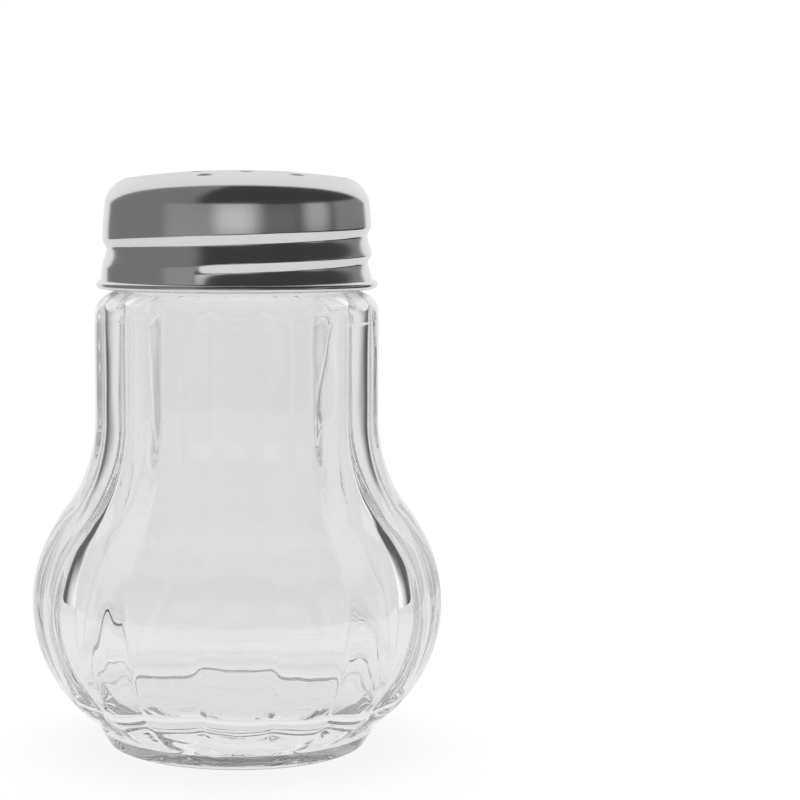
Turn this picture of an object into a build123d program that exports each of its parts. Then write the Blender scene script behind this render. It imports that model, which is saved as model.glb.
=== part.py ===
from build123d import *
import os
from math import acos, sin, sqrt

# Glass table shaker with a stamped steel screw lid. Millimetres and degrees, +Z up.
# The origin is the middle of the foot, on the surface the shaker stands on.
# The jar is one moulding of clear glass: a round foot, a pear-shaped body of upright lobes, a
# rounded shoulder and a plain finish with one raised screw thread. The lid is one stamping of
# thin sheet: a gently domed top with pouring holes, a skirt with a rolled thread and a curled
# hem. A thin plastic ring lies between the glass rim and the lid.

# Lobes of the jar body
lobe_count = 18
front_lobe_angle = -90.0        # one lobe faces -Y
groove_depth = 0.95             # between two lobes, at the widest part of the bulb
section_step = 3.0              # spacing of the cross-sections the lobes are drawn through

# Outline of the jar body, over the crests of the lobes
bulb_radius = 33.25
bulb_height = 23.3              # height of the widest part
upper_round = 23.9              # radius of the curve above it
heel_tuck = 3.4                 # how far the curve below it comes in under the edge of the foot
waist_round = 24.9              # hollow curve between bulb and neck
neck_radius = 22.9
shoulder_height = 73.6
shoulder_round = 5.0
shoulder_trim = 0.25            # how far the shoulder's curve starts outside the crests

# Foot
foot_radius = 22.5
foot_height = 2.8
foot_taper = 1.7                # how much narrower it is at the table
foot_round = 0.8
bearing_width = 3.4             # flat ring that touches the table
push_up_depth = 1.1             # shallow hollow under the foot
push_up_slope = 2.0             # width of the sloping edge of that hollow

# Cavity
body_wall = 4.7
base_thickness = 8.5
floor_round = 10.0              # corner between wall and floor
ease_round = 9.0                # the two bends where the neck cavity narrows to the mouth
ease_drop = 0.5                 # middle of those bends below the shoulder

# Finish: the plain ring of glass that carries the thread
shoulder_ledge = 3.65           # from the neck in to the finish
finish_wall = 3.05
finish_length = 15.9            # rim above shoulder
rim_round = 0.9

# Screw thread, right-handed, six turns to the inch
thread_pitch = 25.4 / 6
bead_tube = 0.95                # radius of the rounded glass thread
bead_stand_out = 1.05           # how far it stands out of the finish
bead_turns = 1.3
bead_lead = 43.5                # angle from the start of the rolled thread to its own start
thread_play = 0.1               # gap between the rolled thread and the glass thread

# Seal ring
seal_thickness = 0.75
seal_setback = 0.45             # from the outside of the finish
seal_overhang = 0.4             # how far it stays back from the edge of the mouth
seal_chamfer = 0.25

# Lid
sheet = 0.4
lid_play = 0.4                  # between the glass thread and the inside of the skirt
lid_headroom = 0.35             # between the seal's edge and the dome, before its corner
lid_depth = 18.0                # top of the dome above the middle of the curled hem
dome_radius = 124.0
lid_corner = 4.7
skirt_draft = 0.6               # how much wider the skirt is at its hem
hem_tube = 0.65                 # radius of the curl
hem_offset = 0.1                # middle of the curl outside the skirt
roll_tube = 1.2                 # radius of the roller that pressed the thread into the skirt
roll_depth = 0.75               # below the top of the skirt, which widens downwards
roll_turns = 1.45
roll_start_angle = 256.5
roll_start_rise = 2.5           # start of the rolled thread above the middle of the hem

# Pouring holes: one in the middle, six round it, six between those further out
hole_radius = 1.4
hole_ring_radius = 8.3
inner_hole_angle = 40.0
outer_hole_angle = 10.0
holes_per_ring = 6

# Aids to the modelling
cut_past = 10.0                 # how far cutting solids run past what they cut
level_slack = 0.01              # how near a height an edge is taken to lie on it

# Worked out from the dimensions above: the jar's outline. The lower curve runs from the widest
# part of the bulb down into the foot, and ends half way down it.
heel_height = foot_height / 2
heel_inset = bulb_radius - (foot_radius - heel_tuck)
lower_round = ((bulb_height - heel_height) ** 2 + heel_inset**2) / (2 * heel_inset)
lower_centre = bulb_radius - lower_round
upper_centre = bulb_radius - upper_round
waist_centre = neck_radius + waist_round
waist_height = bulb_height + sqrt(
    (upper_round + waist_round) ** 2 - (waist_centre - upper_centre) ** 2
)
waist_share = upper_round / (upper_round + waist_round)
inflection_height = bulb_height + (waist_height - bulb_height) * waist_share
inflection_radius = upper_centre + (waist_centre - upper_centre) * waist_share
ease_height = shoulder_height - ease_drop

# The finish, and the lid that fits over it
finish_radius = neck_radius - shoulder_ledge
mouth_radius = finish_radius - finish_wall
rim_height = shoulder_height + finish_length
seal_radius = finish_radius - seal_setback
seal_top = rim_height + seal_thickness
dome_drop = dome_radius - sqrt(dome_radius**2 - seal_radius**2)
lid_height = seal_top + lid_headroom + sheet + dome_drop
hem_height = lid_height - lid_depth
skirt_top_radius = finish_radius + bead_stand_out + lid_play + sheet
skirt_bottom_radius = skirt_top_radius + skirt_draft
hem_middle_radius = skirt_bottom_radius + hem_offset

# The rolled thread under the glass thread, flank to flank with the play between them
roll_centre = skirt_top_radius + roll_tube - roll_depth
roll_start_height = hem_height + roll_start_rise
bead_centre = finish_radius + bead_stand_out - bead_tube
flank_distance = roll_tube + sheet + bead_tube + thread_play
bead_lift = sqrt(flank_distance**2 - (roll_centre - bead_centre) ** 2)
bead_start_angle = roll_start_angle + bead_lead
bead_start_height = roll_start_height + thread_pitch * bead_lead / 360.0 + bead_lift


def crest_radius(height):
    """Radius of the jar body over the crests of the lobes."""
    if height <= bulb_height:
        return lower_centre + sqrt(lower_round**2 - (bulb_height - height) ** 2)
    if height <= inflection_height:
        return upper_centre + sqrt(upper_round**2 - (height - bulb_height) ** 2)
    if height <= waist_height:
        return waist_centre - sqrt(waist_round**2 - (waist_height - height) ** 2)
    return neck_radius


def turned(*edges):
    """Solid made by turning a closed outline, drawn as radius and height, about Z."""
    outline = make_face(Plane.XZ * Wire(list(edges)))
    return revolve(outline, Axis.Z)


def rings_at(solid, height):
    """Circular edges at one height, smallest first."""
    circles = solid.edges().filter_by(GeomType.CIRCLE)
    level = circles.filter_by_position(Axis.Z, height - level_slack, height + level_slack)
    return level.sort_by(SortBy.RADIUS)


def outline_through(points):
    """Straight edges through points of radius and height, closed on themselves."""
    return Polyline(*points, close=True).edges()


def lobed_section(height):
    """Cross-section of the lobes at one height: a closed ring of equal bulging arcs."""
    crest = crest_radius(height)
    groove = crest - groove_depth * crest / bulb_radius
    step = 360.0 / lobe_count
    arcs = []
    for index in range(lobe_count):
        middle = front_lobe_angle + index * step
        start = Vector(groove, 0).rotate(Axis.Z, middle - step / 2)
        top = Vector(crest, 0).rotate(Axis.Z, middle)
        end = Vector(groove, 0).rotate(Axis.Z, middle + step / 2)
        arcs.append(ThreePointArc(start, top, end))
    return Pos(0, 0, height) * make_face(Wire(arcs))


def lobed_body():
    """The lobes, drawn through cross-sections and rounded off at the shoulder."""
    reach = shoulder_height - heel_height
    count = round(reach / section_step)
    heights = [heel_height + reach * n / count for n in range(count + 1)]
    lobes = loft([lobed_section(height) for height in heights])
    round_start = shoulder_height - shoulder_round
    beyond = bulb_radius + body_wall
    shoulder_edge = neck_radius + shoulder_trim
    envelope = turned(
        Line((0, 0), (beyond, 0)),
        Line((beyond, 0), (beyond, round_start)),
        Line((beyond, round_start), (shoulder_edge, round_start)),
        RadiusArc(
            (shoulder_edge, round_start),
            (shoulder_edge - shoulder_round, shoulder_height),
            -shoulder_round,
        ),
        Line((shoulder_edge - shoulder_round, shoulder_height), (0, shoulder_height)),
        Line((0, shoulder_height), (0, 0)),
    )
    return lobes & envelope


def foot():
    """Round foot with a hollow under it, so that the glass stands on a flat ring."""
    bearing_outer = foot_radius - foot_taper
    bearing_inner = bearing_outer - bearing_width
    hollow_edge = bearing_inner - push_up_slope
    block = turned(
        *outline_through(
            [(0, 0), (bearing_outer, 0), (foot_radius, foot_height), (0, foot_height)]
        )
    )
    block = fillet(rings_at(block, 0)[-1], foot_round)
    hollow = turned(
        *outline_through(
            [(0, 0), (bearing_inner, 0), (hollow_edge, push_up_depth), (0, push_up_depth)]
        )
    )
    return block, hollow


def cavity():
    """The space inside the glass, from the floor of the bulb out through the mouth."""
    wall_lower = lower_round - body_wall
    wall_upper = upper_round - body_wall
    wall_waist = waist_round + body_wall
    floor_radius = lower_centre + sqrt(wall_lower**2 - (bulb_height - base_thickness) ** 2)
    bulb_wall = bulb_radius - body_wall
    meet = Vector(upper_centre, bulb_height)
    toward = Vector(inflection_radius, inflection_height) - meet
    inflection = meet + toward.normalized() * wall_upper
    neck_wall = neck_radius - body_wall
    ease_turn = acos(1 - (neck_wall - mouth_radius) / (2 * ease_round))
    ease_rise = ease_round * sin(ease_turn)
    ease_low = (neck_wall, ease_height - ease_rise)
    ease_middle = ((neck_wall + mouth_radius) / 2, ease_height)
    ease_high = (mouth_radius, ease_height + ease_rise)
    top = rim_height + cut_past
    space = turned(
        Line((0, base_thickness), (floor_radius, base_thickness)),
        RadiusArc((floor_radius, base_thickness), (bulb_wall, bulb_height), -wall_lower),
        RadiusArc((bulb_wall, bulb_height), (inflection.X, inflection.Y), -wall_upper),
        RadiusArc((inflection.X, inflection.Y), (neck_wall, waist_height), wall_waist),
        Line((neck_wall, waist_height), ease_low),
        RadiusArc(ease_low, ease_middle, -ease_round),
        RadiusArc(ease_middle, ease_high, ease_round),
        Line(ease_high, (mouth_radius, top)),
        Line((mouth_radius, top), (0, top)),
        Line((0, top), (0, base_thickness)),
    )
    return fillet(rings_at(space, base_thickness)[-1], floor_round)


def thread_tube(tube_radius, centre_radius, start_angle, start_height, turns):
    """A round tube on the thread's helix, with rounded ends."""
    path = Helix(pitch=thread_pitch, height=thread_pitch * turns, radius=centre_radius)
    section = Plane(origin=path @ 0, z_dir=path % 0) * Circle(tube_radius)
    tube = sweep(section, path=path, is_frenet=True)
    for end in (0, 1):
        tube += Pos(path @ end) * Sphere(tube_radius)
    return Pos(0, 0, start_height) * Rot(0, 0, start_angle) * tube


def glass_jar():
    """The moulded glass jar."""
    foot_block, foot_hollow = foot()
    finish = Pos(0, 0, foot_height) * Cylinder(
        finish_radius, rim_height - foot_height, align=(Align.CENTER, Align.CENTER, Align.MIN)
    )
    glass = lobed_body() + foot_block + finish
    bead = thread_tube(bead_tube, bead_centre, bead_start_angle, bead_start_height, bead_turns)
    glass = glass + bead
    glass = glass - cavity()
    glass = glass - foot_hollow
    return fillet(rings_at(glass, rim_height), rim_round)


def cap_form(inset):
    """The lid's outside form, or with an inset of one sheet thickness its inside form."""
    slope = skirt_draft / lid_depth
    top_radius = skirt_top_radius - inset
    dome = dome_radius - inset
    edge_height = lid_height - dome_radius + sqrt(dome**2 - top_radius**2)
    low = hem_height if inset == 0 else hem_height - cut_past
    low_radius = top_radius + slope * (lid_height - low)
    form = turned(
        Line((0, low), (low_radius, low)),
        Line((low_radius, low), (top_radius, edge_height)),
        RadiusArc((top_radius, edge_height), (0, lid_height - inset), -dome),
        Line((0, lid_height - inset), (0, low)),
    )
    form = fillet(rings_at(form, edge_height), lid_corner - inset)
    roll = thread_tube(
        roll_tube + inset, roll_centre, roll_start_angle, roll_start_height, roll_turns
    )
    return form - roll


def pouring_holes():
    """Upright drills for the thirteen holes."""
    drill = Pos(0, 0, lid_height) * Cylinder(hole_radius, cut_past)
    holes = [drill]
    holes += PolarLocations(hole_ring_radius, holes_per_ring, inner_hole_angle) * drill
    outer_ring = hole_ring_radius * sqrt(3)
    holes += PolarLocations(outer_ring, holes_per_ring, outer_hole_angle) * drill
    return holes


def screw_lid():
    """The stamped sheet lid with its curled hem."""
    hem = Pos(0, 0, hem_height) * Torus(hem_middle_radius, hem_tube)
    lid = cap_form(0) + hem
    lid = lid - cap_form(sheet)
    return lid - pouring_holes()


def lid_seal_ring():
    """Flat plastic ring on the glass rim."""
    inner = mouth_radius + seal_overhang
    ring = turned(
        *outline_through(
            [
                (inner, rim_height),
                (seal_radius, rim_height),
                (seal_radius, seal_top),
                (inner, seal_top),
            ]
        )
    )
    return chamfer(rings_at(ring, seal_top)[-1], seal_chamfer)


os.makedirs("parts", exist_ok=True)
pieces = {
    "glass_jar": glass_jar(),
    "screw_lid": screw_lid(),
    "lid_seal_ring": lid_seal_ring(),
}
for name, piece in pieces.items():
    export_step(piece, f"parts/{name}.step")
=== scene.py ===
import math

import bpy
import numpy as np
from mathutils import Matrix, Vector
from mathutils.geometry import delaunay_2d_cdt


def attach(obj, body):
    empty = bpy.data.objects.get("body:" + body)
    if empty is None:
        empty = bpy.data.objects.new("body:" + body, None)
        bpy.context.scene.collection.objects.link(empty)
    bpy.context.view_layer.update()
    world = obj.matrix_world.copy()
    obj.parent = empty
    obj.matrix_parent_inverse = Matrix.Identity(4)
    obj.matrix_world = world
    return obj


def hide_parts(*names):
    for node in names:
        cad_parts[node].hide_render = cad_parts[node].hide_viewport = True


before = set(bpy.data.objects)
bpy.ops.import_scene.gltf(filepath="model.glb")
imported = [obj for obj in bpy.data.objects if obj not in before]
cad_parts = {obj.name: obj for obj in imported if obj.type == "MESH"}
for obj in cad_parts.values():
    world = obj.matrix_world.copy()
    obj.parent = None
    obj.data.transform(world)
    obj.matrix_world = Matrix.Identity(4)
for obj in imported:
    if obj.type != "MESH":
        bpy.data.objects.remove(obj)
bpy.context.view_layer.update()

# Shapes are worked out in millimetres and degrees, in the CAD model's own frame, and turned
# into metres when a mesh is made.
MM = 0.001
ROUND = 360                     # points round a ring

# Lobes of the jar body
LOBES = 18
FRONT_LOBE = -90.0
GROOVE_DEPTH = 0.95
GROOVE_SOFTNESS = 0.05          # how far the fire-polished groove is rounded, in lobes

# Outline of the jar
BULB_RADIUS = 33.25
BULB_HEIGHT = 23.3
LOWER_ROUND = 24.02
UPPER_ROUND = 23.9
WAIST_ROUND = 24.9
NECK_RADIUS = 22.9
SHOULDER_HEIGHT = 73.6
SHOULDER_ROUND = 5.0
SHOULDER_TRIM = 0.25
FOOT_RADIUS = 22.5
FOOT_HEIGHT = 2.8
FOOT_TAPER = 1.7                # how much narrower it is at the table
FOOT_ROUND = 0.8
BEARING_WIDTH = 3.4
FOOT_STEP = 8.0                 # how steeply the foot's upper edge runs in, per height
PUSH_UP_DEPTH = 1.1
PUSH_UP_SLOPE = 2.0

# Slow unevenness of the moulded glass: its size everywhere, and what the thick glass adds
OUTER_WAVES = (0.03, 0.10)
INNER_WAVES = (0.10, 0.16)
FLOOR_WAVES = 0.144             # the same, up and down, in the cavity's floor
INNER_WAVE_HEIGHT = 6.0         # where the added part is largest inside, and 0 outside
WAVE_FADE = 9.0                 # height over which it dies away
FULL_WAVE_RADIUS = 20.0         # nearer the axis the waves shrink
WAVE_ROOM = 0.04                # outside drawn in by this, so that its waves stay within the CAD
OUTER_SEED = 7
INNER_SEED = 11
FLOOR_SEED = 13

# How softly surfaces run into each other
FOOT_BLEND = 0.12
SHOULDER_BLEND = 0.3
BEAD_BLEND = 0.08

# Inside of the jar
BODY_WALL = 4.7
BASE_THICKNESS = 8.5
FLOOR_ROUND = 10.0
EASE_HEIGHT = 73.1              # middle of the bend from the neck's wall in to the mouth
EASE_ROUND = 9.0
EVEN_ABOVE = EASE_HEIGHT - 5.0  # above this the cavity has no waves

# Finish and thread
FINISH_RADIUS = 19.25
MOUTH_RADIUS = 16.2
RIM_HEIGHT = 89.5
RIM_ROUND = 0.9
STEP_ROUND = 0.6                # corner between shoulder and finish
PITCH = 25.4 / 6
BEAD_TUBE = 0.95
BEAD_CENTRE = 19.35
BEAD_START_ANGLE = 300.0
BEAD_TURNS = 1.3
THREAD_PLAY = 0.1

# Lid
SHEET = 0.4
LID_HEIGHT = 92.43
HEM_HEIGHT = 74.43
DOME_RADIUS = 124.0
LID_CORNER = 4.7
SKIRT_TOP = 21.1
SKIRT_DRAFT = 0.6
BARREL_START = 82.0             # above this the skirt curves in towards the corner
BARREL_BEND = 0.0079
HEM_TUBE = 0.65
HEM_MIDDLE = 21.8
ROLL_TUBE = 1.2
ROLL_CENTRE = 21.55
ROLL_DEPTH = 0.72
ROLL_RISE = 1.5                 # from the groove's deepest line up to the plain skirt
ROLL_FALL = 3.2                 # the same downwards, where the groove is gentler
ROLL_PROFILE = 1.3              # exponent of the groove's section
ROLL_SAG = 0.25                 # how far the deepest line lies below the roller's path
ROLL_LEAD_IN = 18.0             # turn over which the groove grows to its full depth
ROLL_START_ANGLE = 252.0
ROLL_START_HEIGHT = HEM_HEIGHT + 2.45
ROLL_TURNS = 1.46
HOLE_RADIUS = 1.4
HOLE_BEVEL = 0.14
HOLE_RING = 8.3
INNER_HOLE_ANGLE = 40.0
OUTER_HOLE_ANGLE = 10.0

# Seal ring
SEAL_THICKNESS = 0.75
SEAL_INNER = 16.6
SEAL_OUTER = 18.8
SEAL_EDGE = 0.25

# Soft panels round the object: from and to in degrees to the right of the camera, width of
# their faded edge, the same in degrees up, and level
SOFT_PANELS = (
    (-70.0, 150.0, 20.0, 18.0, 110.0, 6.0, 0.055),
    (-140.0, -44.0, 20.0, -40.0, 80.0, 10.0, 0.22),
    (-58.0, -28.0, 24.0, -12.0, 12.0, 7.0, 0.32),
    (-8.0, 4.0, 30.0, 6.0, 11.0, 7.0, 0.72),
    (26.0, 46.0, 22.0, 4.0, 11.0, 5.0, 0.18),
    (68.0, 76.0, 20.0, 6.0, 11.0, 7.0, 0.48),
    (98.0, 139.0, 18.0, 3.0, 12.0, 7.0, 0.26),
    (146.0, 200.0, 8.0, -20.0, 60.0, 10.0, 0.9),
    (-200.0, -146.0, 8.0, -20.0, 60.0, 10.0, 0.9),
)
BACK_PANEL = (0.0, 0.762, 0.648)    # towards the middle of the white behind and overhead
BACK_EDGE = (51.0, 47.5)            # degrees from there over which it grows to its level
BACK_DARK = 0.03
BACK_LEVEL = 0.92

# What is seen through the glass: levels, and where on an axis of the ray's direction
THROUGH_DARK = 0.08
THROUGH_WHITE = 0.79                # behind the object
OVERHEAD_WHITE = 0.9
FRONT_THROUGH = 0.36                # on the camera's side
BEHIND_EDGE = (0.70, 0.84)
OVERHEAD_EDGE = (0.6, 0.9)
FRONT_EDGE = (-0.35, -0.1)
BESIDE = (-0.05, 0.48, 0.12)        # a white from and to, and the width of its faded edge

# The table: its sheet in metres, level in the steel and through glass, and share of that white
# from near the object to further out
TABLE_SHEET = (-0.22, -0.3, 0.22, 3.0)
TABLE_MIRRORED = 0.87
TABLE_THROUGH = 0.77
TABLE_WHITE = (0.07, 0.15, 0.90, 1.0)

RAY_BOUNCES = 24

# Worked out from these
LOWER_CENTRE = BULB_RADIUS - LOWER_ROUND
UPPER_CENTRE = BULB_RADIUS - UPPER_ROUND
WAIST_CENTRE = NECK_RADIUS + WAIST_ROUND
WAIST_HEIGHT = BULB_HEIGHT + math.sqrt(
    (UPPER_ROUND + WAIST_ROUND) ** 2 - (WAIST_CENTRE - UPPER_CENTRE) ** 2
)
WAIST_SHARE = UPPER_ROUND / (UPPER_ROUND + WAIST_ROUND)
ANGLES = np.arange(ROUND) * 360.0 / ROUND
RADIANS = np.radians(ANGLES)


# ---------------------------------------------------------------- mesh helpers

def arc(centre, radius, start, end, count):
    """Points of radius and height on an arc, from one angle to another in degrees."""
    turn = np.radians(np.linspace(start, end, count))
    return [(centre[0] + radius * math.cos(t), centre[1] + radius * math.sin(t)) for t in turn]


def line(start, end, count):
    """Points of radius and height on a straight run."""
    return [
        (start[0] + (end[0] - start[0]) * t, start[1] + (end[1] - start[1]) * t)
        for t in np.linspace(0, 1, count)
    ]


def soft_min(a, b, softness):
    """The smaller of two values, with the corner between them rounded."""
    return 0.5 * (a + b - np.sqrt((a - b) ** 2 + softness**2))


def soft_max(a, b, softness):
    """The larger of two values, with the corner between them rounded."""
    return 0.5 * (a + b + np.sqrt((a - b) ** 2 + softness**2))


def ring_points(radii, heights):
    """One closed ring of points from radii and heights round the axis."""
    radii = np.broadcast_to(radii, (ROUND,))
    heights = np.broadcast_to(heights, (ROUND,))
    return np.column_stack([radii * np.cos(RADIANS), radii * np.sin(RADIANS), heights])


class Shell:
    """Collects points and faces of one mesh."""

    def __init__(self):
        self.points = []
        self.faces = []

    def add_ring(self, points):
        start = len(self.points)
        self.points.extend(map(tuple, points))
        return list(range(start, start + len(points)))

    def add_point(self, point):
        self.points.append(tuple(point))
        return len(self.points) - 1

    def bridge(self, low, high):
        count = len(low)
        for here in range(count):
            there = (here + 1) % count
            self.faces.append((low[here], low[there], high[there], high[here]))

    def fan(self, ring, pole):
        count = len(ring)
        for here in range(count):
            self.faces.append((ring[here], ring[(here + 1) % count], pole))

    def make(self, name):
        mesh = bpy.data.meshes.new(name)
        scaled = [tuple(value * MM for value in point) for point in self.points]
        mesh.from_pydata(scaled, [], self.faces)
        mesh.validate()
        mesh.update()
        piece = bpy.data.objects.new(name, mesh)
        bpy.context.scene.collection.objects.link(piece)
        return piece


def smooth(piece, angle):
    """Smooth shading, with edges sharper than the angle in degrees kept crisp."""
    for polygon in piece.data.polygons:
        polygon.use_smooth = True
    piece.data.set_sharp_from_angle(angle=math.radians(angle))


def helix_turns(height, start_angle, start_height, turns, radius):
    """For a ring and each turn of a helix: distance from it, height over it, angle along it."""
    found = []
    for wrap in range(-1, int(turns) + 2):
        run = ANGLES - start_angle + 360.0 * wrap
        held = np.clip(run, 0.0, 360.0 * turns)
        along = np.radians(run - held) * radius
        over = height - (start_height + PITCH * held / 360.0)
        found.append((np.hypot(along, over), over, held))
    return found


# ---------------------------------------------------------------- glass jar

def crest_radius(height):
    """Radius over the crests of the lobes."""
    if height <= BULB_HEIGHT:
        return LOWER_CENTRE + math.sqrt(LOWER_ROUND**2 - (BULB_HEIGHT - height) ** 2)
    inflection = BULB_HEIGHT + (WAIST_HEIGHT - BULB_HEIGHT) * WAIST_SHARE
    if height <= inflection:
        return UPPER_CENTRE + math.sqrt(UPPER_ROUND**2 - (height - BULB_HEIGHT) ** 2)
    if height <= WAIST_HEIGHT:
        return WAIST_CENTRE - math.sqrt(WAIST_ROUND**2 - (WAIST_HEIGHT - height) ** 2)
    return NECK_RADIUS


def lobe_radii(crest):
    """Radius of the lobed outline round one ring: a bulging arc for each lobe."""
    groove = crest - GROOVE_DEPTH * crest / BULB_RADIUS
    half = 180.0 / LOBES
    from_crest = (ANGLES - FRONT_LOBE + half) % (2 * half) - half
    share = np.abs(from_crest) / half
    eased = 1.0 - np.sqrt((1.0 - share) ** 2 + GROOVE_SOFTNESS**2)
    phi = np.radians(half * np.clip(eased, 0.0, 1.0))
    cosine = math.cos(math.radians(half))
    centre = (crest**2 - groove**2) / (2 * (crest - groove * cosine))
    bulge = crest - centre
    return centre * np.cos(phi) + np.sqrt(bulge**2 - (centre * np.sin(phi)) ** 2)


def waves(height, seed, size):
    """Slow unevenness of moulded glass round one ring, from a few seeded waves."""
    draw = np.random.default_rng(seed)
    total = np.zeros(ROUND)
    for order in range(2, 9):
        phase, tilt, weight = draw.random(3)
        total += (0.4 + weight) * np.sin(
            order * RADIANS + 2 * math.pi * phase + (tilt - 0.5) * 0.25 * height
        )
    return size * total / 4.0


def unevenness(height, general, thick):
    """Size of the unevenness at a height: more where the glass is thick, near the foot."""
    return general + thick * math.exp(-((height / WAVE_FADE) ** 2))


def bead_start_height():
    """Where the glass thread starts: over the rolled one by the distance of their flanks."""
    flank = ROLL_TUBE + SHEET + BEAD_TUBE + THREAD_PLAY
    lift = math.sqrt(flank**2 - (ROLL_CENTRE - BEAD_CENTRE) ** 2)
    return ROLL_START_HEIGHT + PITCH * (BEAD_START_ANGLE - ROLL_START_ANGLE) / 360.0 + lift


def outer_rings():
    """Rings of the outside, from the edge of the hollow under the foot up to the rim."""
    bearing_outer = FOOT_RADIUS - FOOT_TAPER
    bearing_inner = bearing_outer - BEARING_WIDTH
    hollow_edge = bearing_inner - PUSH_UP_SLOPE
    lean = math.atan2(FOOT_TAPER, FOOT_HEIGHT)
    flat_edge = bearing_outer - FOOT_ROUND * (1.0 - math.sin(lean)) / math.cos(lean)
    rings = []
    under = line((4.0, PUSH_UP_DEPTH), (hollow_edge, PUSH_UP_DEPTH), 8)
    under += line((hollow_edge, PUSH_UP_DEPTH), (bearing_inner, 0.0), 6)[1:]
    under += line((bearing_inner, 0.0), (flat_edge, 0.0), 6)[1:]
    under += arc((flat_edge, FOOT_ROUND), FOOT_ROUND, -90, -math.degrees(lean), 8)[1:]
    rings += [ring_points(radius, height) for radius, height in under]
    round_start = SHOULDER_HEIGHT - SHOULDER_ROUND
    heights = np.concatenate(
        [np.linspace(under[-1][1] + 0.1, 4.0, 22), np.linspace(4.4, round_start, 150)]
    )
    for height in heights:
        radii = lobe_radii(crest_radius(height)) - WAVE_ROOM
        radii += waves(height, OUTER_SEED, unevenness(height, *OUTER_WAVES))
        tuck = FOOT_TAPER * max(0.0, FOOT_HEIGHT - height) / FOOT_HEIGHT
        foot = FOOT_RADIUS - tuck - FOOT_STEP * max(0.0, height - FOOT_HEIGHT)
        rings.append(ring_points(soft_max(radii, foot, FOOT_BLEND), height))
    shoulder_centre = NECK_RADIUS + SHOULDER_TRIM - SHOULDER_ROUND
    shoulder_end = FINISH_RADIUS + 0.5
    top_angle = math.degrees(math.acos((shoulder_end - shoulder_centre) / SHOULDER_ROUND))
    for radius, height in arc((shoulder_centre, round_start), SHOULDER_ROUND, 2, top_angle, 26):
        radii = lobe_radii(crest_radius(height)) - WAVE_ROOM
        radii += waves(height, OUTER_SEED, OUTER_WAVES[0])
        rings.append(ring_points(soft_min(radii, radius, SHOULDER_BLEND), height))
    step_height = SHOULDER_HEIGHT + 0.7
    step_centre = (FINISH_RADIUS + STEP_ROUND, step_height)
    rings += [ring_points(*point) for point in arc(step_centre, STEP_ROUND, -120, -180, 6)]
    for height in np.linspace(step_height + 0.2, RIM_HEIGHT - RIM_ROUND, 60):
        turns = helix_turns(
            height, BEAD_START_ANGLE, bead_start_height(), BEAD_TURNS, FINISH_RADIUS
        )
        apart = np.min([distance for distance, _, _ in turns], axis=0)
        bead = BEAD_CENTRE + np.sqrt(np.maximum(0.0, BEAD_TUBE**2 - apart**2))
        standing = np.where(apart < BEAD_TUBE, bead, FINISH_RADIUS - 1.0)
        rings.append(ring_points(soft_max(standing, FINISH_RADIUS, BEAD_BLEND), height))
    outer_edge = (FINISH_RADIUS - RIM_ROUND, RIM_HEIGHT - RIM_ROUND)
    rings += [ring_points(*point) for point in arc(outer_edge, RIM_ROUND, 8, 90, 8)]
    return rings


def inner_outline():
    """Radius and height of the cavity's wall, from the rim down to the middle of the floor."""
    wall_lower = LOWER_ROUND - BODY_WALL
    wall_upper = UPPER_ROUND - BODY_WALL
    wall_waist = WAIST_ROUND + BODY_WALL
    neck_wall = NECK_RADIUS - BODY_WALL
    outline = arc((MOUTH_RADIUS + RIM_ROUND, RIM_HEIGHT - RIM_ROUND), RIM_ROUND, 90, 180, 8)
    bend = math.acos(1.0 - (neck_wall - MOUTH_RADIUS) / (2 * EASE_ROUND))
    ease_rise = EASE_ROUND * math.sin(bend)
    ease_top = (MOUTH_RADIUS + EASE_ROUND, EASE_HEIGHT + ease_rise)
    ease_low = (neck_wall - EASE_ROUND, EASE_HEIGHT - ease_rise)
    turn = math.degrees(bend)
    outline += line((MOUTH_RADIUS, RIM_HEIGHT - RIM_ROUND - 0.3), (MOUTH_RADIUS, ease_top[1]), 30)
    outline += arc(ease_top, EASE_ROUND, 180, 180 + turn, 12)[1:]
    outline += arc(ease_low, EASE_ROUND, turn, 0, 12)[1:]
    outline += line((neck_wall, ease_low[1] - 0.4), (neck_wall, WAIST_HEIGHT), 26)
    lean = math.degrees(
        math.atan2(WAIST_HEIGHT - BULB_HEIGHT, WAIST_CENTRE - UPPER_CENTRE)
    )
    outline += arc((WAIST_CENTRE, WAIST_HEIGHT), wall_waist, 180, 180 + lean, 30)[1:]
    outline += arc((UPPER_CENTRE, BULB_HEIGHT), wall_upper, lean, 0, 36)[1:]
    depth = BULB_HEIGHT - BASE_THICKNESS - FLOOR_ROUND
    tilt = math.degrees(math.asin(depth / (wall_lower - FLOOR_ROUND)))
    outline += arc((LOWER_CENTRE, BULB_HEIGHT), wall_lower, 0, -tilt, 34)[1:]
    floor_centre = LOWER_CENTRE + (wall_lower - FLOOR_ROUND) * math.cos(math.radians(tilt))
    outline += arc((floor_centre, BASE_THICKNESS + FLOOR_ROUND), FLOOR_ROUND, -tilt, -90, 16)[1:]
    outline += line((floor_centre - 0.8, BASE_THICKNESS), (1.0, BASE_THICKNESS), 16)
    return outline


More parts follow.
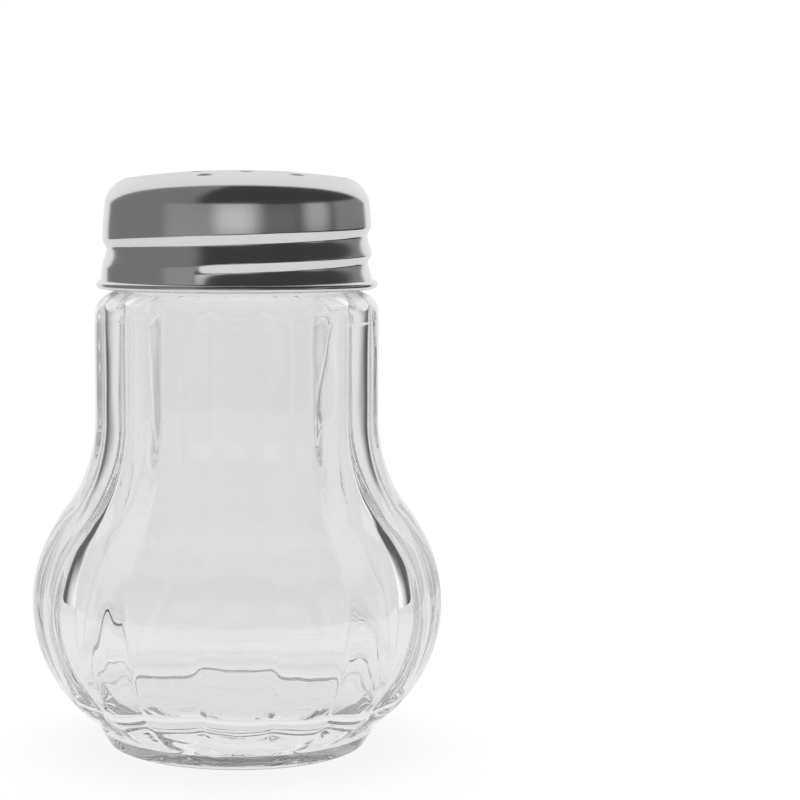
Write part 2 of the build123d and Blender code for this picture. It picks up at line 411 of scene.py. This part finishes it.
def build_jar():
    """The glass jar as one closed mesh, outside and inside."""
    shell = Shell()
    rings = outer_rings()
    for radius, height in inner_outline():
        outward = min(1.0, radius / FULL_WAVE_RADIUS)
        over = height - INNER_WAVE_HEIGHT
        size = unevenness(over, *INNER_WAVES) if height < WAIST_HEIGHT else INNER_WAVES[0]
        uneven = waves(height, INNER_SEED, size) if height < EVEN_ABOVE else 0.0
        lift = waves(height, FLOOR_SEED, unevenness(over, 0.0, FLOOR_WAVES))
        rings.append(ring_points(radius + uneven * outward, height + lift * outward))
    ids = [shell.add_ring(points) for points in rings]
    for low, high in zip(ids, ids[1:]):
        shell.bridge(low, high)
    under = shell.add_point((0.0, 0.0, PUSH_UP_DEPTH))
    floor = shell.add_point((0.0, 0.0, BASE_THICKNESS))
    shell.fan(list(reversed(ids[0])), under)
    shell.fan(ids[-1], floor)
    jar = shell.make("glass_jar_body")
    smooth(jar, 60)
    return jar


# ---------------------------------------------------------------- lid

def dome_height(radius, inset=0.0):
    """Height of the dome over a radius, or of its underside with an inset."""
    ball = DOME_RADIUS - inset
    return LID_HEIGHT - DOME_RADIUS + math.sqrt(ball**2 - radius**2)


def corner_centre():
    """Middle of the rounding between dome and skirt, as radius and height."""
    radius = SKIRT_TOP - LID_CORNER
    ball = DOME_RADIUS - LID_CORNER
    return radius, LID_HEIGHT - DOME_RADIUS + math.sqrt(ball**2 - radius**2)


def edge_radius():
    """Radius where the dome ends and the rounding starts, and the slope there in degrees."""
    radius, height = corner_centre()
    lean = math.asin(radius / (DOME_RADIUS - LID_CORNER))
    return radius + LID_CORNER * math.sin(lean), math.degrees(lean)


def hole_places():
    """Middle of each pouring hole: one, six round it, and six further out between those."""
    places = [(0.0, 0.0)]
    rings = ((HOLE_RING, INNER_HOLE_ANGLE), (HOLE_RING * math.sqrt(3), OUTER_HOLE_ANGLE))
    for radius, first in rings:
        for index in range(6):
            turn = math.radians(first + 60.0 * index)
            places.append((radius * math.cos(turn), radius * math.sin(turn)))
    return places


def disc_with_holes(shell, rim, hole_radius, inset, flip):
    """Triangles of the dome between its rim and the holes. Returns the ring of each hole."""
    hole_points = 40
    spacing = 0.9
    flat = [Vector((shell.points[i][0], shell.points[i][1])) for i in rim]
    loops = [list(range(len(rim)))]
    for x, y in hole_places():
        start = len(flat)
        for step in range(hole_points):
            turn = 2 * math.pi * step / hole_points
            edge = hole_radius * math.cos(turn), hole_radius * math.sin(turn)
            flat.append(Vector((x + edge[0], y + edge[1])))
        loops.append(list(range(start, start + hole_points)))
    edges = []
    for loop in loops:
        edges += [(loop[i], loop[(i + 1) % len(loop)]) for i in range(len(loop))]
    reach = edge_radius()[0] - 0.6 * spacing
    rows = int(reach / spacing) + 1
    for row in range(-rows, rows + 1):
        for column in range(-rows, rows + 1):
            point = Vector(((column + 0.5 * (row % 2)) * spacing, row * spacing * 0.87))
            near_hole = any(
                math.hypot(point.x - x, point.y - y) < hole_radius + 0.4 * spacing
                for x, y in hole_places()
            )
            if point.length < reach and not near_hole:
                flat.append(point)
    result = delaunay_2d_cdt(flat, edges, [], 0, 1e-7, True)
    points, faces, origins = result[0], result[2], result[3]
    ids = []
    for index, point in enumerate(points):
        source = origins[index][0]
        if source < len(rim):
            ids.append(rim[source])
        else:
            ids.append(shell.add_point((point.x, point.y, dome_height(point.length, inset))))
    hole_of = {index: hole for hole, loop in enumerate(loops[1:]) for index in loop}
    for face in faces:
        touched = {hole_of.get(origins[index][0]) for index in face}
        if None in touched or len(touched) > 1:
            chosen = [ids[i] for i in face]
            shell.faces.append(tuple(reversed(chosen)) if flip else tuple(chosen))
    where = {origins[i][0]: ids[i] for i in range(len(points))}
    return [[where[i] for i in loop] for loop in loops[1:]]


def skirt_radii(height, inset):
    """Radius of the skirt round one ring, with the rolled thread pressed in."""
    plain = SKIRT_TOP - inset + SKIRT_DRAFT * (LID_HEIGHT - height) / (LID_HEIGHT - HEM_HEIGHT)
    plain -= BARREL_BEND * max(0.0, height - BARREL_START) ** 2
    lowest = ROLL_START_HEIGHT - ROLL_SAG
    groove = np.zeros(ROUND)
    for apart, over, held in helix_turns(
        height, ROLL_START_ANGLE, lowest, ROLL_TURNS, ROLL_CENTRE
    ):
        reach = np.where(over > 0.0, ROLL_RISE, ROLL_FALL) + 0.5 * inset
        share = np.clip(apart / reach, 0.0, 1.0)
        lead = np.clip(held / ROLL_LEAD_IN, 0.0, 1.0)
        depth = ROLL_DEPTH * lead * (2.0 - lead)
        groove = np.maximum(groove, depth * (1.0 - share**ROLL_PROFILE) ** ROLL_PROFILE)
    return plain - groove


def build_lid():
    """The stamped lid: outside, curled hem, inside and the walls of the holes."""
    shell = Shell()
    corner_radius, corner_height = corner_centre()
    lean = edge_radius()[1]
    first = 6.5                     # slope of the skirt where the corner takes over
    skirt_high = corner_height + LID_CORNER * math.sin(math.radians(first)) - 0.15
    outside = []
    curl = []
    inside = []
    skirt_low = HEM_HEIGHT + HEM_TUBE * 0.6
    for radius, height in arc((corner_radius, corner_height), LID_CORNER, 90 - lean, first, 20):
        outside.append(ring_points(radius, height))
    for height in np.linspace(skirt_high, skirt_low, 130):
        outside.append(ring_points(skirt_radii(height, 0.0), height))
    for radius, height in arc((HEM_MIDDLE, HEM_HEIGHT), HEM_TUBE, 125, -200, 26):
        curl.append(ring_points(radius, height))
    for height in np.linspace(skirt_low, skirt_high, 70):
        inside.append(ring_points(skirt_radii(height, SHEET), height))
    inner_corner = LID_CORNER - SHEET
    for radius, height in arc((corner_radius, corner_height), inner_corner, first, 90 - lean, 16):
        inside.append(ring_points(radius, height))
    ids = [shell.add_ring(points) for points in outside + curl + inside]
    for low, high in zip(ids[1:], ids):
        shell.bridge(low, high)
    top_holes = disc_with_holes(shell, ids[0], HOLE_RADIUS + HOLE_BEVEL, 0.0, False)
    under_holes = disc_with_holes(shell, ids[-1], HOLE_RADIUS, SHEET, True)
    for top, under in zip(top_holes, under_holes):
        edge = []
        for index in under:
            px, py, pz = shell.points[index]
            edge.append(shell.add_point((px, py, pz + SHEET - HOLE_BEVEL)))
        shell.bridge(edge, top)
        shell.bridge(under, edge)
    lid = shell.make("screw_lid_shell")
    smooth(lid, 35)
    return lid


# ---------------------------------------------------------------- seal ring

def build_seal():
    """The flat plastic ring between rim and lid."""
    shell = Shell()
    top = RIM_HEIGHT + SEAL_THICKNESS
    outline = [
        (SEAL_INNER, RIM_HEIGHT + 0.1), (SEAL_INNER + 0.1, RIM_HEIGHT),
        (SEAL_OUTER - 0.1, RIM_HEIGHT), (SEAL_OUTER, RIM_HEIGHT + 0.1),
        (SEAL_OUTER, top - SEAL_EDGE), (SEAL_OUTER - SEAL_EDGE, top),
        (SEAL_INNER + 0.1, top), (SEAL_INNER, top - 0.1),
    ]
    ids = [shell.add_ring(ring_points(radius, height)) for radius, height in outline]
    for low, high in zip(ids, ids[1:] + ids[:1]):
        shell.bridge(low, high)
    seal = shell.make("seal_ring")
    smooth(seal, 30)
    return seal


# ---------------------------------------------------------------- materials

def new_material(name):
    material = bpy.data.materials.new(name)
    material.use_nodes = True
    nodes = material.node_tree.nodes
    return material, nodes, material.node_tree.links, nodes["Principled BSDF"]


def glass_material():
    """Clear moulded glass with the faint ripple of a pressed surface."""
    material, nodes, links, shader = new_material("clear_glass")
    shader.inputs["Base Color"].default_value = (0.988, 0.99, 0.989, 1.0)
    shader.inputs["Transmission Weight"].default_value = 1.0
    shader.inputs["IOR"].default_value = 1.51
    shader.inputs["Roughness"].default_value = 0.0
    place = nodes.new("ShaderNodeTexCoord")
    ripple = nodes.new("ShaderNodeTexNoise")
    ripple.inputs["Scale"].default_value = 190.0
    ripple.inputs["Detail"].default_value = 1.0
    stretch = nodes.new("ShaderNodeMapping")
    stretch.inputs["Scale"].default_value = (1.0, 1.0, 0.3)
    bump = nodes.new("ShaderNodeBump")
    bump.inputs["Strength"].default_value = 0.32
    bump.inputs["Distance"].default_value = 0.0004
    links.new(place.outputs["Object"], stretch.inputs["Vector"])
    links.new(stretch.outputs["Vector"], ripple.inputs["Vector"])
    links.new(ripple.outputs["Fac"], bump.inputs["Height"])
    links.new(bump.outputs["Normal"], shader.inputs["Normal"])
    return material


def steel_material():
    """Stainless sheet: brushed in one direction on the dome, polished on the skirt."""
    material, nodes, links, shader = new_material("stamped_steel")
    shader.inputs["Base Color"].default_value = (0.74, 0.74, 0.74, 1.0)
    shader.inputs["Metallic"].default_value = 1.0
    place = nodes.new("ShaderNodeTexCoord")
    stretch = nodes.new("ShaderNodeMapping")
    stretch.inputs["Scale"].default_value = (9000.0, 120.0, 120.0)
    grain = nodes.new("ShaderNodeTexNoise")
    grain.inputs["Scale"].default_value = 1.0
    grain.inputs["Detail"].default_value = 3.0
    split = nodes.new("ShaderNodeSeparateXYZ")
    on_dome = nodes.new("ShaderNodeMapRange")
    on_dome.inputs["From Min"].default_value = (LID_HEIGHT - 2.6) * MM
    on_dome.inputs["From Max"].default_value = (LID_HEIGHT - 1.2) * MM
    rough = nodes.new("ShaderNodeMapRange")
    rough.inputs["To Min"].default_value = 0.16
    rough.inputs["To Max"].default_value = 0.34
    strength = nodes.new("ShaderNodeMapRange")
    strength.inputs["To Min"].default_value = 0.02
    strength.inputs["To Max"].default_value = 0.25
    bump = nodes.new("ShaderNodeBump")
    bump.inputs["Distance"].default_value = 0.00002
    links.new(place.outputs["Object"], stretch.inputs["Vector"])
    links.new(stretch.outputs["Vector"], grain.inputs["Vector"])
    links.new(place.outputs["Object"], split.inputs["Vector"])
    links.new(split.outputs["Z"], on_dome.inputs["Value"])
    links.new(on_dome.outputs["Result"], rough.inputs["Value"])
    links.new(on_dome.outputs["Result"], strength.inputs["Value"])
    links.new(rough.outputs["Result"], shader.inputs["Roughness"])
    links.new(strength.outputs["Result"], bump.inputs["Strength"])
    links.new(grain.outputs["Fac"], bump.inputs["Height"])
    links.new(bump.outputs["Normal"], shader.inputs["Normal"])
    return material


def plastic_material():
    """Soft milky polyethylene."""
    material, nodes, links, shader = new_material("seal_plastic")
    shader.inputs["Base Color"].default_value = (0.86, 0.86, 0.84, 1.0)
    shader.inputs["Roughness"].default_value = 0.45
    place = nodes.new("ShaderNodeTexCoord")
    mottle = nodes.new("ShaderNodeTexNoise")
    mottle.inputs["Scale"].default_value = 900.0
    bump = nodes.new("ShaderNodeBump")
    bump.inputs["Strength"].default_value = 0.2
    bump.inputs["Distance"].default_value = 0.00005
    links.new(place.outputs["Object"], mottle.inputs["Vector"])
    links.new(mottle.outputs["Fac"], bump.inputs["Height"])
    links.new(bump.outputs["Normal"], shader.inputs["Normal"])
    return material


# ---------------------------------------------------------------- stage, light and camera

def soft_step(nodes, links, source, low, high, dark, light):
    """A value that goes smoothly from dark to light as the source goes from low to high."""
    step = nodes.new("ShaderNodeMapRange")
    step.interpolation_type = "SMOOTHSTEP"
    step.inputs["From Min"].default_value = low
    step.inputs["From Max"].default_value = high
    step.inputs["To Min"].default_value = dark
    step.inputs["To Max"].default_value = light
    links.new(source, step.inputs["Value"])
    return step.outputs["Result"]


def brightest(nodes, links, sources):
    """The largest of several values."""
    total = sources[0]
    for source in sources[1:]:
        pick = nodes.new("ShaderNodeMath")
        pick.operation = "MAXIMUM"
        links.new(total, pick.inputs[0])
        links.new(source, pick.inputs[1])
        total = pick.outputs["Value"]
    return total


def chosen(nodes, links, share, first, second):
    """The second value where share is 1, the first where it is 0. Either may be a number."""
    mix = nodes.new("ShaderNodeMix")
    mix.data_type = "FLOAT"
    links.new(share, mix.inputs["Factor"])
    for socket, value in ((mix.inputs["A"], first), (mix.inputs["B"], second)):
        if isinstance(value, float):
            socket.default_value = value
        else:
            links.new(value, socket)
    return mix.outputs["Result"]


def within(nodes, links, source, low, high, fade):
    """1 where the source lies between two values, falling to 0 over the fade outside them."""
    middle = nodes.new("ShaderNodeMath")
    middle.operation = "SUBTRACT"
    middle.inputs[1].default_value = (low + high) / 2
    away = nodes.new("ShaderNodeMath")
    away.operation = "ABSOLUTE"
    links.new(source, middle.inputs[0])
    links.new(middle.outputs["Value"], away.inputs[0])
    half = (high - low) / 2
    return soft_step(nodes, links, away.outputs["Value"], half, half + fade, 1.0, 0.0)


def seen_directly(nodes, links):
    """1 for rays that see a thing straight, through glass or in a mirror, 0 for its light."""
    path = nodes.new("ShaderNodeLightPath")
    total = path.outputs["Is Camera Ray"]
    for kind in ("Is Transmission Ray", "Is Glossy Ray"):
        either = nodes.new("ShaderNodeMath")
        either.operation = "MAXIMUM"
        links.new(total, either.inputs[0])
        links.new(path.outputs[kind], either.inputs[1])
        total = either.outputs["Value"]
    return total


def build_floor():
    """Pale table that ends in front of the object. It looks white, and keeps the shadow."""
    left, front, right, back = TABLE_SHEET
    corners = [(left, front, 0.0), (right, front, 0.0), (right, back, 0.0), (left, back, 0.0)]
    mesh = bpy.data.meshes.new("floor")
    mesh.from_pydata(corners, [], [(0, 1, 2, 3)])
    floor = bpy.data.objects.new("floor", mesh)
    bpy.context.scene.collection.objects.link(floor)
    material, nodes, links, shader = new_material("floor_white")
    shader.inputs["Base Color"].default_value = (0.93, 0.93, 0.93, 1.0)
    shader.inputs["Roughness"].default_value = 0.9
    shader.inputs["Specular IOR Level"].default_value = 0.0
    place = nodes.new("ShaderNodeTexCoord")
    far = nodes.new("ShaderNodeVectorMath")
    far.operation = "LENGTH"
    links.new(place.outputs["Object"], far.inputs[0])
    white = soft_step(nodes, links, far.outputs["Value"], *TABLE_WHITE)
    path = nodes.new("ShaderNodeLightPath")
    glow = nodes.new("ShaderNodeEmission")
    glow.inputs["Color"].default_value = (1.0, 1.0, 1.0, 1.0)
    direct = chosen(nodes, links, path.outputs["Is Glossy Ray"], 1.0, TABLE_MIRRORED)
    level = chosen(nodes, links, path.outputs["Is Transmission Ray"], direct, TABLE_THROUGH)
    links.new(level, glow.inputs["Strength"])
    share = nodes.new("ShaderNodeMath")
    share.operation = "MULTIPLY"
    links.new(seen_directly(nodes, links), share.inputs[0])
    links.new(white, share.inputs[1])
    blend = nodes.new("ShaderNodeMixShader")
    links.new(share.outputs["Value"], blend.inputs["Fac"])
    links.new(shader.outputs["BSDF"], blend.inputs[1])
    links.new(glow.outputs["Emission"], blend.inputs[2])
    links.new(blend.outputs["Shader"], nodes["Material Output"].inputs["Surface"])
    mesh.materials.append(material)


def build_world():
    """A white studio: bright behind and overhead, dim in front, with soft panels round it."""
    world = bpy.data.worlds.new("studio")
    bpy.context.scene.world = world
    world.use_nodes = True
    nodes = world.node_tree.nodes
    links = world.node_tree.links
    place = nodes.new("ShaderNodeTexCoord")
    split = nodes.new("ShaderNodeSeparateXYZ")
    links.new(place.outputs["Generated"], split.inputs["Vector"])
    ahead = nodes.new("ShaderNodeMath")
    ahead.operation = "MULTIPLY"
    ahead.inputs[1].default_value = -1.0
    links.new(split.outputs["Y"], ahead.inputs[0])
    turn = nodes.new("ShaderNodeMath")
    turn.operation = "ARCTAN2"
    links.new(split.outputs["X"], turn.inputs[0])
    links.new(ahead.outputs["Value"], turn.inputs[1])
    rise = nodes.new("ShaderNodeMath")
    rise.operation = "ARCSINE"
    links.new(split.outputs["Z"], rise.inputs[0])
    aim = nodes.new("ShaderNodeVectorMath")
    aim.operation = "DOT_PRODUCT"
    aim.inputs[1].default_value = BACK_PANEL
    links.new(place.outputs["Generated"], aim.inputs[0])
    edge = [math.cos(math.radians(away)) for away in BACK_EDGE]
    parts = [soft_step(nodes, links, aim.outputs["Value"], *edge, BACK_DARK, BACK_LEVEL)]
    for *places, level in SOFT_PANELS:
        left, right, side_fade, low, high, fade = map(math.radians, places)
        across = within(nodes, links, turn.outputs["Value"], left, right, side_fade)
        upright = within(nodes, links, rise.outputs["Value"], low, high, fade)
        product = nodes.new("ShaderNodeMath")
        product.operation = "MULTIPLY"
        links.new(across, product.inputs[0])
        links.new(upright, product.inputs[1])
        scaled = nodes.new("ShaderNodeMath")
        scaled.operation = "MULTIPLY"
        scaled.inputs[1].default_value = level
        links.new(product.outputs["Value"], scaled.inputs[0])
        parts.append(scaled.outputs["Value"])
    mirrored = brightest(nodes, links, parts)
    back, up = split.outputs["Y"], split.outputs["Z"]
    behind = soft_step(nodes, links, back, *BEHIND_EDGE, THROUGH_DARK, THROUGH_WHITE)
    above = soft_step(nodes, links, up, *OVERHEAD_EDGE, 0.0, OVERHEAD_WHITE)
    beside = within(nodes, links, back, *BESIDE)
    front = soft_step(nodes, links, back, *FRONT_EDGE, FRONT_THROUGH, 0.0)
    through = brightest(nodes, links, [behind, above, beside, front])
    path = nodes.new("ShaderNodeLightPath")
    beyond = chosen(nodes, links, path.outputs["Is Transmission Ray"], mirrored, through)
    final = chosen(nodes, links, path.outputs["Is Camera Ray"], beyond, 1.0)
    background = nodes["Background"]
    background.inputs["Strength"].default_value = 1.0
    links.new(final, background.inputs["Color"])


def build_lights():
    """One large softbox overhead."""
    lamp = bpy.data.lights.new("overhead", "AREA")
    lamp.energy = 14.0
    lamp.size = 1.2
    overhead = bpy.data.objects.new("overhead", lamp)
    overhead.visible_glossy = False
    overhead.visible_transmission = False
    overhead.location = (0.0, 0.1, 1.1)
    bpy.context.scene.collection.objects.link(overhead)


def build_camera():
    """Camera level with the top of the lid, looking a little down."""
    distance = 0.350
    eye_height = 88.5 * MM
    pitch = 7.5                     # degrees below the horizon
    focal_pixels = 2181.0
    frame_pixels = 800.0
    axis_pixel = 237.0              # where the object's axis stands in the picture
    level_pixel = 482.1             # row that the camera points at
    sensor = 36.0
    data = bpy.data.cameras.new("camera")
    data.sensor_width = sensor
    data.lens = focal_pixels / frame_pixels * sensor
    data.shift_x = (frame_pixels / 2 - axis_pixel) / frame_pixels
    data.shift_y = (level_pixel - frame_pixels / 2) / frame_pixels
    camera = bpy.data.objects.new("camera", data)
    camera.location = (0.0, -distance, eye_height)
    camera.rotation_euler = (math.radians(90 - pitch), 0.0, 0.0)
    bpy.context.scene.collection.objects.link(camera)
    bpy.context.scene.camera = camera


# ---------------------------------------------------------------- the whole

scene = bpy.context.scene
scene.view_settings.view_transform = "Standard"
scene.cycles.max_bounces = RAY_BOUNCES
scene.cycles.transmission_bounces = RAY_BOUNCES
scene.cycles.glossy_bounces = RAY_BOUNCES

jar = build_jar()
jar.data.materials.append(glass_material())
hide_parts("glass_jar")
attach(jar, "jar")

lid = build_lid()
lid.data.materials.append(steel_material())
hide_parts("screw_lid")
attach(lid, "lid")

seal = build_seal()
seal.data.materials.append(plastic_material())
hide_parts("lid_seal_ring")
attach(seal, "seal")

build_floor()
build_world()
build_lights()
build_camera()
